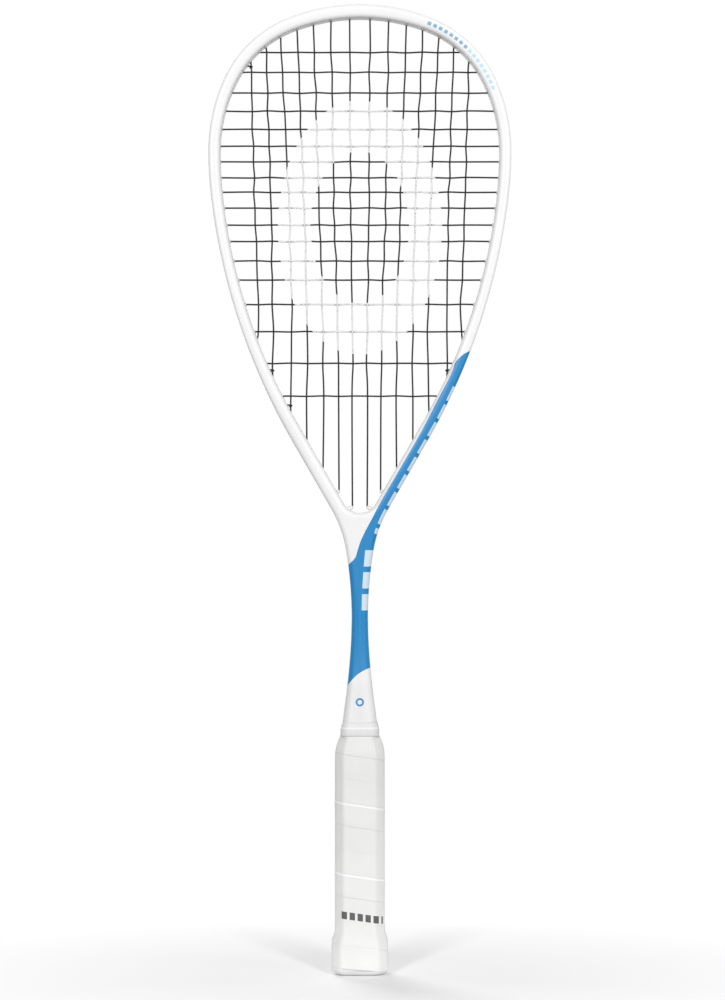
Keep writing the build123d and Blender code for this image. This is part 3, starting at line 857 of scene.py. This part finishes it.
def collar_piece(material):
    """Soft ring with rounded lips, hugging the cone."""
    outer = [rounded_rectangle(*values) for values in COLLAR]
    inner = []
    for z in COLLAR_INNER_Z:
        x, y, corner = blended(CONE, max(z, CONE[-1][0]))
        inner.append(rounded_rectangle(z, x + 0.05, y + 0.05, corner))
    rings = outer + inner + outer[:1]
    along = [2.0 * i for i in range(len(rings))]
    around = [2.0 * i for i in range(len(outer[0]) + 1)]
    mesh = bmesh.new()
    skin(mesh, rings, along, around, caps=(False, False))
    piece("collar_soft", mesh, material, "collar", 50.0)


# ---------------------------------------------------------------- materials
class Paint:
    """One procedural material: a Principled shader and the nodes that feed it."""

    def __init__(self, name):
        self.material = bpy.data.materials.new(name)
        self.material.use_nodes = True
        self.tree = self.material.node_tree
        self.shader = self.tree.nodes["Principled BSDF"]
        self.place = self.add("ShaderNodeTexCoord").outputs["Object"]
        self.thread = self.add("ShaderNodeUVMap", uv_map="UVMap").outputs[0]

    def add(self, kind, inputs=None, **settings):
        node = self.tree.nodes.new(kind)
        for key, value in settings.items():
            setattr(node, key, value)
        for key, value in (inputs or {}).items():
            self.plug(node.inputs[key], value)
        return node

    def plug(self, socket, value):
        if isinstance(value, bpy.types.NodeSocket):
            self.tree.links.new(value, socket)
        else:
            socket.default_value = value

    def set(self, **values):
        for key, value in values.items():
            self.plug(self.shader.inputs[key.replace("_", " ")], value)

    def math(self, operation, a, b=0.0):
        return self.add("ShaderNodeMath", {0: a, 1: b}, operation=operation).outputs[0]

    def times(self, first, *others):
        for other in others:
            first = self.math("MULTIPLY", first, other)
        return first

    def plus(self, a, b):
        return self.math("ADD", a, b)

    def minus(self, a, b):
        return self.math("SUBTRACT", a, b)

    def under(self, value, limit):
        return self.math("LESS_THAN", value, limit)

    def past(self, value, limit):
        return self.math("GREATER_THAN", value, limit)

    def distance(self, a, b):
        return self.math("SQRT", self.plus(self.times(a, a), self.times(b, b)))

    def beat(self, value, pitch):
        """Share of the way through each repeat of a pitch."""
        return self.math("FRACT", self.times(value, 1 / pitch))

    def noise(self, scale, detail=3.0, rough=0.5):
        inputs = {"Vector": self.place, "Scale": scale, "Detail": detail, "Roughness": rough}
        return self.add("ShaderNodeTexNoise", inputs).outputs["Fac"]

    def cells(self, scale, vector, **inputs):
        inputs.update({"Vector": vector, "Scale": scale})
        return self.add("ShaderNodeTexVoronoi", inputs).outputs["Distance"]

    def span(self, value, low, high, to_low=0.0, to_high=1.0):
        inputs = {"Value": value, "From Min": low, "From Max": high, "To Min": to_low, "To Max": to_high}
        return self.add("ShaderNodeMapRange", inputs, clamp=True).outputs[0]

    def between(self, value, window, soft=0.00005):
        """One where a value lies in a window, fading at both ends."""
        low, high = window
        rise = self.span(value, low - soft, low + soft)
        return self.times(rise, self.span(value, high - soft, high + soft, 1.0, 0.0))

    def mix(self, factor, a, b):
        return self.add("ShaderNodeMix", {0: factor, 6: a, 7: b}, data_type="RGBA").outputs[2]

    def xyz(self, vector):
        return self.add("ShaderNodeSeparateXYZ", {0: vector}).outputs

    def bump(self, height, distance, strength=1.0):
        inputs = {"Height": height, "Distance": distance, "Strength": strength}
        return self.add("ShaderNodeBump", inputs).outputs[0]

    def curve(self, value, points):
        """Smooth curve through (input, output) pairs in millimetres of the object."""
        (low, _), (high, _) = points[0], points[-1]
        outs = [b for _, b in points]
        least, most = min(outs), max(outs)
        node = self.add("ShaderNodeFloatCurve", {"Value": self.span(value, low * MM, high * MM)})
        line = node.mapping.curves[0]
        for a, b in points[1:-1]:
            line.points.new((a - low) / (high - low), (b - least) / (most - least))
        line.points[0].location = (0.0, (points[0][1] - least) / (most - least))
        line.points[-1].location = (1.0, (points[-1][1] - least) / (most - least))
        node.mapping.update()
        return self.span(node.outputs[0], 0.0, 1.0, least * MM, most * MM)


def grey(value, tint=(1.0, 1.0, 1.0)):
    return (value * tint[0], value * tint[1], value * tint[2], 1.0)


BLUE_LACQUER = (0.004, 0.205, 0.49, 1.0)
BLUE_LIGHT = (0.012, 0.265, 0.57, 1.0)
BLOCK_PALE = (0.66, 0.78, 0.86, 1.0)
DASH_BLUE = (0.09, 0.34, 0.56, 1.0)
DASH_PALE = (0.40, 0.68, 0.85, 1.0)
# Inner edge of the blue panel as (height, distance to the right of the middle) in millimetres.
PANEL_EDGE = [
    (287.0, -9.6), (290.0, -7.4), (292.4, -4.9), (294.9, -3.0), (299.0, -1.7), (304.0, -0.2),
    (310.3, 2.5), (316.2, 5.5), (323.4, 9.4), (331.0, 13.2), (349.0, 23.5), (363.0, 31.6),
    (384.5, 43.9), (405.7, 55.0), (426.9, 65.6), (432.0, 67.4), (436.0, 70.8), (440.0, 76.8),
]
# Lower edge of the panel as (distance to the right of the middle, height) in millimetres.
PANEL_FOOT = [
    (-9.0, 203.6), (-7.3, 206.0), (-4.15, 209.7), (-0.4, 212.9), (3.4, 215.1), (7.5, 216.8),
    (9.0, 217.2),
]
PANEL_TOP = (0.4399, 0.44)
PANEL_SOFT = 0.00006
# Heights in metres over which the painted shade on the cone fades out upwards.
CONE_PAINTED_SHADE = (0.200, 0.222)

# Plain marks on the lacquer in metres. u runs along the rim from the crown, negative on the
# left, and v runs round the section from the middle of the outside.
ARCH_DASHES_U = (0.0506, 0.1242)
ARCH_DASHES_V = (0.0156, 0.0184)
ARCH_DASH_PITCH = 0.0046
ARCH_DASH_SHARE = 0.6
ARCH_PALE_FROM_U = 0.0855
OUTSIDE_V = (0.0158, 0.0160)
ARM_BLOCKS_U = (0.338, 0.4585)
FRONT_Y = -0.0045
ARM_BLOCKS_Y = (-0.0097, FRONT_Y)
ARM_BLOCK_PITCH = 0.0142
ARM_BLOCK_SHARE = 0.78
SHAFT_BARS_Z = (0.2572, 0.3032)
SHAFT_BAR_PITCH = 0.0155
SHAFT_BAR_SHARE = 0.74
CONE_RING_Z = 0.1925
CONE_RING = (0.0016, 0.0030)
CONE_FRONT_Y = (-0.008, -0.0079)


def lacquer():
    """White lacquer with a blue panel on the right arm and the shaft."""
    paint = Paint("frame_lacquer")
    x, y, z = paint.xyz(paint.place)
    right = paint.span(paint.minus(x, paint.curve(z, PANEL_EDGE)), -PANEL_SOFT, PANEL_SOFT)
    below_top = paint.span(z, *PANEL_TOP, 1.0, 0.0)
    above_foot = paint.span(paint.minus(z, paint.curve(x, PANEL_FOOT)), -PANEL_SOFT, PANEL_SOFT)
    panel = paint.times(right, below_top, above_foot)
    cloud = paint.span(paint.noise(22.0, 4.0), 0.3, 0.7)
    streak = paint.times(paint.noise(9.0, 2.0), 0.7, 0.55)
    blue = paint.mix(streak, BLUE_LACQUER, BLUE_LIGHT)
    white = paint.mix(cloud, grey(0.825), grey(0.855))
    # Painted shade: the white lacquer is darker on the cone below these heights, near the collar.
    cone = paint.mix(cloud, grey(0.735), grey(0.77))
    white = paint.mix(paint.span(z, *CONE_PAINTED_SHADE, 1.0, 0.0), white, cone)
    colour = trim(paint, paint.mix(panel, white, blue), x, y, z)
    rough = paint.span(paint.noise(60.0, 3.0), 0.3, 0.7, 0.32, 0.42)
    paint.set(Base_Color=colour, Roughness=rough, Coat_Weight=0.1, Coat_Roughness=0.2, IOR=1.38)
    paint.set(Normal=paint.bump(paint.noise(170.0, 2.0), 0.00002, 0.2))
    return paint.material


def trim(paint, colour, x, y, z):
    """Plain dashes, blocks, bars and a ring over the lacquer."""
    u, v, _ = paint.xyz(paint.thread)
    outside = paint.span(v, *OUTSIDE_V, 1.0, 0.0)

    beat = paint.beat(u, ARCH_DASH_PITCH)
    dash = paint.times(paint.under(beat, ARCH_DASH_SHARE), paint.between(v, ARCH_DASHES_V))
    dash = paint.times(dash, paint.between(u, ARCH_DASHES_U), 0.85)
    colour = paint.mix(dash, colour, paint.mix(paint.past(u, ARCH_PALE_FROM_U), DASH_BLUE, DASH_PALE))

    arm = paint.times(paint.between(u, ARM_BLOCKS_U), outside)
    flank = paint.times(paint.between(y, ARM_BLOCKS_Y), arm)
    block = paint.times(paint.under(paint.beat(u, ARM_BLOCK_PITCH), ARM_BLOCK_SHARE), flank)
    beat = paint.beat(paint.minus(z, SHAFT_BARS_Z[0]), SHAFT_BAR_PITCH)
    bar = paint.times(paint.under(beat, SHAFT_BAR_SHARE), paint.between(z, SHAFT_BARS_Z))
    front = paint.times(paint.under(y, FRONT_Y), paint.past(u, 0.0), outside)
    block = paint.math("MAXIMUM", block, paint.times(bar, front))
    colour = paint.mix(paint.times(block, 0.92), colour, BLOCK_PALE)

    near = paint.distance(x, paint.minus(z, CONE_RING_Z))
    ring = paint.times(paint.between(near, CONE_RING), paint.span(y, *CONE_FRONT_Y, 1.0, 0.0))
    return paint.mix(paint.times(ring, 0.95), colour, BLUE_LACQUER)


# Heights of the painted highlight on the collar's upper lip, in metres.
COLLAR_LIP_HIGHLIGHT = (0.17385, 0.1748)


def plastic(name, base, rough, tint=(1.0, 1.0, 1.0), through=0.0, lip=None):
    """Matt plastic or rubber. A painted highlight can make a lip paler between two heights."""
    paint = Paint(name)
    cloud = paint.span(paint.noise(45.0, 4.0), 0.3, 0.7)
    colour = paint.mix(cloud, grey(base * 0.95, tint), grey(base * 1.04, tint))
    if lip:
        # Painted highlight: the lip is mixed towards pale grey between the given heights.
        lip_highlight = paint.between(paint.xyz(paint.place)[2], lip)
        colour = paint.mix(paint.times(lip_highlight, 0.6), colour, grey(0.93))
    paint.set(Base_Color=colour)
    paint.set(Roughness=paint.span(paint.noise(180.0, 3.0), 0.3, 0.7, rough - 0.06, rough + 0.08))
    paint.set(Normal=paint.bump(paint.noise(700.0, 2.0), 0.00002, 0.2), IOR=1.45)
    if through:
        paint.set(Subsurface_Weight=through, Subsurface_Radius=(0.9, 0.9, 0.85), Subsurface_Scale=0.001)
    return paint.material


# Stencil on the strings and the twist of their fibres, in metres.
STENCIL_Z = 0.528
STENCIL_STRETCH = 1.55
STENCIL = (0.054, 0.090)
STENCIL_WOBBLE = 0.0022
TWIST_ALONG = 0.0016
TWIST_ROUND = 0.0006


def cord_paint():
    """Black twisted multifilament with a plain white oval stencilled on the front."""
    paint = Paint("string")
    u, v, _ = paint.xyz(paint.thread)
    lay = paint.plus(paint.times(u, 2 * pi / TWIST_ALONG), paint.times(v, 12 / TWIST_ROUND))
    twist = paint.math("SINE", lay)
    fibre = paint.noise(2600.0, 2.0)
    x, y, z = paint.xyz(paint.place)
    distance = paint.distance(paint.times(x, STENCIL_STRETCH), paint.minus(z, STENCIL_Z))
    wobble = paint.times(paint.minus(paint.noise(700.0, 3.0), 0.5), STENCIL_WOBBLE)
    wear = paint.span(paint.noise(1100.0, 4.0), 0.30, 0.38)
    front = paint.span(y, 0.0, 0.0004, 1.0, 0.0)
    mark = paint.times(paint.between(paint.plus(distance, wobble), STENCIL), wear, front)
    black = paint.mix(fibre, (0.004, 0.0034, 0.003, 1.0), (0.012, 0.010, 0.009, 1.0))
    paint.set(Base_Color=paint.mix(mark, black, grey(0.80)))
    paint.set(Roughness=paint.span(fibre, 0.3, 0.7, 0.36, 0.52), IOR=1.35)
    paint.set(Normal=paint.bump(paint.plus(paint.times(twist, 0.6), fibre), 0.00005, 0.7))
    return paint.material


# Marks on the grip in metres: two heights where the lapped edge has a painted highlight, its
# place across the tape, and a band of dark blocks that rises a little to the left.
LEDGE_LOWER_Z = (0.0632, 0.0779)
LEDGE_UPPER_Z = (0.1133, 0.1280)
LEDGE_SOFT = 0.003
LEDGE_V = (0.0149, 0.0161)
BAND_LEVEL = (0.0385, 0.0437)
BAND_SLOPE = 0.14
BAND_FRONT_Y = -0.004
BAND_X = (-0.0129, 0.0163)
BAND_START = 0.1024
BAND_PITCH = 0.0056
BAND_SHARE = 0.68


def grip_paint():
    """Tacky white grip with a fine grain, rows of pinholes and a band of dark blocks."""
    paint = Paint("grip")
    _, v, _ = paint.xyz(paint.thread)
    x, y, z = paint.xyz(paint.place)
    grain = paint.noise(1500.0, 4.0, 0.6)
    hole = paint.span(paint.cells(520.0, paint.thread, Randomness=0.35), 0.10, 0.22, 1.0, 0.0)
    cloud = paint.span(paint.noise(30.0, 4.0), 0.3, 0.7)
    colour = paint.mix(cloud, grey(0.715, (1.0, 0.995, 0.985)), grey(0.765, (1.0, 1.0, 0.995)))
    # Painted shade: the pinholes are mixed a little towards dark grey, as shade inside the holes.
    colour = paint.mix(paint.times(hole, 0.10), colour, grey(0.42))
    # Painted highlight: the lapped edge of the tape is painted pale at two heights only.
    lower = paint.between(z, LEDGE_LOWER_Z, LEDGE_SOFT)
    upper = paint.between(z, LEDGE_UPPER_Z, LEDGE_SOFT)
    lip = paint.times(paint.between(v, LEDGE_V), paint.math("MAXIMUM", lower, upper), 0.8)
    colour = paint.mix(lip, colour, grey(0.9))
    level = paint.plus(z, paint.times(x, BAND_SLOPE))
    band = paint.times(paint.between(level, BAND_LEVEL), paint.under(y, BAND_FRONT_Y))
    beat = paint.beat(paint.plus(x, BAND_START), BAND_PITCH)
    block = paint.times(paint.under(beat, BAND_SHARE), paint.between(x, BAND_X))
    colour = paint.mix(paint.times(band, block, 0.92), colour, grey(0.03))
    paint.set(Base_Color=colour, Roughness=paint.span(grain, 0.3, 0.7, 0.5, 0.68), IOR=1.45)
    height = paint.minus(paint.times(grain, 0.5), paint.times(hole, 0.5))
    paint.set(Normal=paint.bump(height, 0.0001, 0.45), Sheen_Weight=0.1, Sheen_Roughness=0.4)
    return paint.material


def metal_paint():
    """Dull steel wire."""
    paint = Paint("staple_wire")
    rough = paint.span(paint.noise(400.0, 3.0), 0.3, 0.7, 0.25, 0.45)
    colour = paint.mix(paint.noise(120.0, 3.0), grey(0.55), grey(0.68))
    paint.set(Base_Color=colour, Roughness=rough, Metallic=1.0)
    paint.set(Normal=paint.bump(paint.noise(2400.0), 0.00003, 0.4))
    return paint.material


def foam_paint():
    """Cream foam with open cells."""
    paint = Paint("foam")
    cell = paint.cells(900.0, paint.place)
    colour = paint.mix(paint.noise(40.0, 3.0), (0.50, 0.47, 0.40, 1.0), (0.60, 0.57, 0.50, 1.0))
    paint.set(Base_Color=colour, Roughness=paint.span(cell, 0.0, 0.8, 0.85, 0.7))
    paint.set(Normal=paint.bump(cell, 0.0002, 0.6))
    return paint.material


# The floor turns from a lit surface into plain background between two distances, in metres.
FLOOR_FADE = (0.10, 0.34)


def floor_paint():
    """Pale floor that holds the shadow near the racket and fades into the background."""
    paint = Paint("floor")
    x, y, _ = paint.xyz(paint.place)
    far = paint.span(paint.distance(x, y), *FLOOR_FADE)
    paint.set(Base_Color=grey(0.9), Roughness=0.75, Emission_Color=grey(1.0), Emission_Strength=0.07)
    rays = paint.add("ShaderNodeLightPath").outputs
    seen = paint.math("MAXIMUM", rays["Is Camera Ray"], rays["Is Glossy Ray"])
    seen = paint.math("MAXIMUM", seen, rays["Is Transmission Ray"])
    strength = paint.span(seen, 0.0, 1.0, 0.2, 1.0)
    plain = paint.add("ShaderNodeEmission", {"Color": grey(1.0), "Strength": strength}).outputs[0]
    mixed = paint.add("ShaderNodeMixShader", {0: far, 1: paint.shader.outputs[0], 2: plain}).outputs[0]
    paint.tree.links.new(mixed, paint.tree.nodes["Material Output"].inputs["Surface"])
    return paint.material


# ---------------------------------------------------------------- the racket
frame_piece(lacquer())
guard_piece(plastic("guard_plastic", 0.78, 0.42))
strip_plastic = plastic("grommet_plastic", 0.74, 0.32, (1.0, 1.0, 0.985), 0.25)
for side in (-1, 1):
    strip_piece(side, strip_plastic)
string = cord_paint()
string_piece("main_string", main_run, LOWER, UPPER, MAIN_TIES, (1, 12), -LOOP_OFFSET, string)
string_piece("cross_string", cross_run, CROSS_LEFT, CROSS_RIGHT, CROSS_TIES, (0, 2), LOOP_OFFSET, string)
tape_piece(grip_paint())
cap_piece(plastic("cap_plastic", 0.76, 0.38))
collar_piece(plastic("collar_rubber", 0.73, 0.46, lip=COLLAR_LIP_HIGHLIGHT))
for name, slot, material in (
    ("handle_core", "foam", foam_paint()),
    ("finishing_tape", "band_tape", plastic("band_tape", 0.72, 0.5)),
    ("grip_staple", "staple_wire", metal_paint()),
):
    node = frame["nodes"][name]
    node.data.materials.clear()
    node.data.materials.append(material)


# ---------------------------------------------------------------- stage
AIM = (0, 0, 0.35)
WORLD_STRENGTH = 0.22
CAMERA_LENS = 137.3
CAMERA_PLACE = (0.0019, -2.7, 0.3351)


def floor():
    mesh = bmesh.new()
    bmesh.ops.create_grid(mesh, x_segments=8, y_segments=8, size=4.0)
    data = bpy.data.meshes.new("floor")
    mesh.to_mesh(data)
    mesh.free()
    made = bpy.data.objects.new("floor", data)
    made.location.z = -0.0002
    bpy.context.scene.collection.objects.link(made)
    data.materials.append(floor_paint())


def lamp(name, place, size, power, aim=AIM, shiny=True):
    """Soft rectangular lamp. One that isn't shiny gives no highlights."""
    data = bpy.data.lights.new(name, "AREA")
    data.shape = "RECTANGLE"
    data.size, data.size_y = size
    data.energy = power
    made = bpy.data.objects.new(name, data)
    made.location = place
    made.rotation_mode = "QUATERNION"
    made.rotation_quaternion = (Vector(aim) - Vector(place)).to_track_quat("-Z", "Y")
    made.visible_glossy = shiny
    bpy.context.scene.collection.objects.link(made)


def world():
    """White for the camera, mirrors and glass, and softer for everything that it lights."""
    made = bpy.data.worlds.new("studio")
    bpy.context.scene.world = made
    made.use_nodes = True
    tree = made.node_tree
    rays = tree.nodes.new("ShaderNodeLightPath")
    seen = rays.outputs["Is Camera Ray"]
    for kind in ("Is Glossy Ray", "Is Transmission Ray"):
        either = tree.nodes.new("ShaderNodeMath")
        either.operation = "MAXIMUM"
        tree.links.new(seen, either.inputs[0])
        tree.links.new(rays.outputs[kind], either.inputs[1])
        seen = either.outputs[0]
    soft = tree.nodes["Background"]
    bright = tree.nodes.new("ShaderNodeBackground")
    for light, strength in ((soft, WORLD_STRENGTH), (bright, 1.0)):
        light.inputs["Color"].default_value = (1.0, 1.0, 1.0, 1.0)
        light.inputs["Strength"].default_value = strength
    mixed = tree.nodes.new("ShaderNodeMixShader")
    tree.links.new(seen, mixed.inputs[0])
    tree.links.new(soft.outputs[0], mixed.inputs[1])
    tree.links.new(bright.outputs[0], mixed.inputs[2])
    tree.links.new(mixed.outputs[0], tree.nodes["World Output"].inputs["Surface"])


def camera():
    """Long lens looking straight at the front."""
    data = bpy.data.cameras.new("camera")
    data.sensor_width = 36.0
    data.lens = CAMERA_LENS
    data.clip_start, data.clip_end = 0.05, 50.0
    made = bpy.data.objects.new("camera", data)
    made.location = CAMERA_PLACE
    made.rotation_euler = (pi / 2, 0.0, 0.0)
    bpy.context.scene.collection.objects.link(made)
    bpy.context.scene.camera = made


floor()
world()
lamp("key_left", (-0.8, -2.9, 1.3), (0.3, 1.6), 42.5)
lamp("key_right", (0.9, -2.9, 1.3), (0.3, 1.6), 42.5)
lamp("fill", (1.7, -1.2, 0.8), (1.0, 1.6), 5)
lamp("top", (0.0, 0.3, 2.0), (1.4, 1.4), 1.5, aim=(0, 0, 0.2))
lamp("back", (-0.8, 2.4, 1.2), (1.2, 1.4), 46, shiny=False)
lamp("side_left", (-2.4, 0.9, 0.8), (0.8, 1.4), 7, shiny=False)
lamp("side_right", (2.4, 0.9, 0.8), (0.8, 1.4), 7, shiny=False)
camera()
bpy.context.scene.view_settings.view_transform = "Standard"
